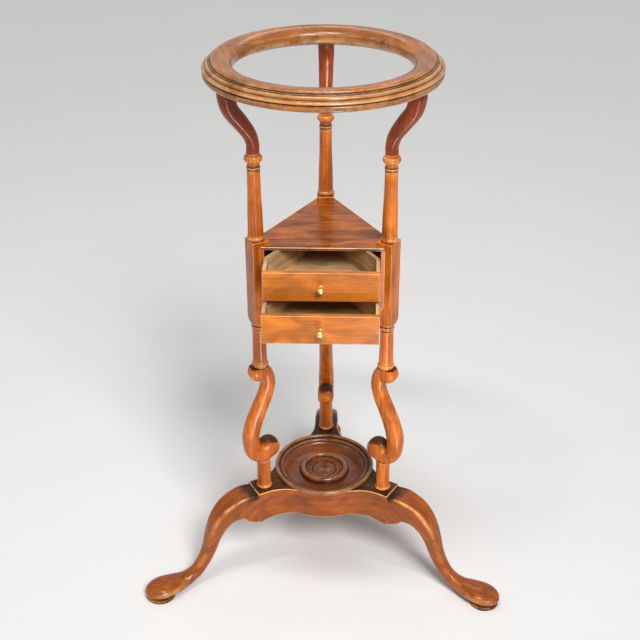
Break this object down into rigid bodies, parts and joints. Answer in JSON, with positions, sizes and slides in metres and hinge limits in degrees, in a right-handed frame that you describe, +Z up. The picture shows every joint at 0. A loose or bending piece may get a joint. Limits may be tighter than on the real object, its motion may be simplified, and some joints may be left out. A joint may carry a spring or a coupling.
{
  "type": "basin stand",
  "caption": "Turned wooden basin stand: moulded ring top on curved arms and slender posts, triangular case with small drawers, scrolled supports, turned dish and tripod base.",
  "frame": {"origin": "on the floor, midway between the front knob's tip and the back foot's toe, in the plane of left-right symmetry", "axes": "+Z up through the ring's hole, -Y the way the drawers open, X left to right; the three posts stand round an axis 66.45 mm in front of the origin"},
  "size_m": [0.5454, 0.4912, 0.813],
  "materials": {
    "mahogany": "polished",
    "base_mahogany": "polished",
    "front_mahogany": "satin",
    "drawer_wood": "matte",
    "brass": "polished"
  },
  "bodies": {
    "stand": {"basin_ring": "mahogany", "arm_left": "mahogany", "arm_right": "mahogany", "arm_back": "mahogany", "post_left": "mahogany", "post_right": "mahogany", "post_back": "mahogany", "scroll_left": "mahogany", "scroll_right": "mahogany", "scroll_back": "mahogany", "foot_column_left": "mahogany", "foot_column_right": "mahogany", "foot_column_back": "mahogany", "platform": "base_mahogany", "turned_dish": "base_mahogany", "leg_left": "base_mahogany", "leg_right": "base_mahogany", "leg_back": "base_mahogany", "shelf_top": "mahogany", "case_bottom": "mahogany", "drawer_divider": "mahogany", "cheek_left": "mahogany", "cheek_right": "mahogany", "panel_left": "mahogany", "panel_right": "mahogany"},
    "upper_drawer": {"upper_front": "front_mahogany", "upper_side_left": "drawer_wood", "upper_side_right": "drawer_wood", "upper_flank_left": "drawer_wood", "upper_flank_right": "drawer_wood", "upper_back": "drawer_wood", "upper_bottom": "drawer_wood", "upper_knob": "brass", "upper_knob_nut": "brass"},
    "lower_drawer": {"lower_front": "front_mahogany", "lower_side_left": "drawer_wood", "lower_side_right": "drawer_wood", "lower_flank_left": "drawer_wood", "lower_flank_right": "drawer_wood", "lower_back": "drawer_wood", "lower_bottom": "drawer_wood", "lower_knob": "brass", "lower_knob_nut": "brass"}
  },
  "joints": [
    {"name": "upper_drawer_slide", "type": "slide", "parent": "stand", "child": "upper_drawer", "axis": [0, -1, 0], "range_m": [-0.066, 0.04]},
    {"name": "lower_drawer_slide", "type": "slide", "parent": "stand", "child": "lower_drawer", "axis": [0, -1, 0], "range_m": [-0.1, 0.006]}
  ]
}
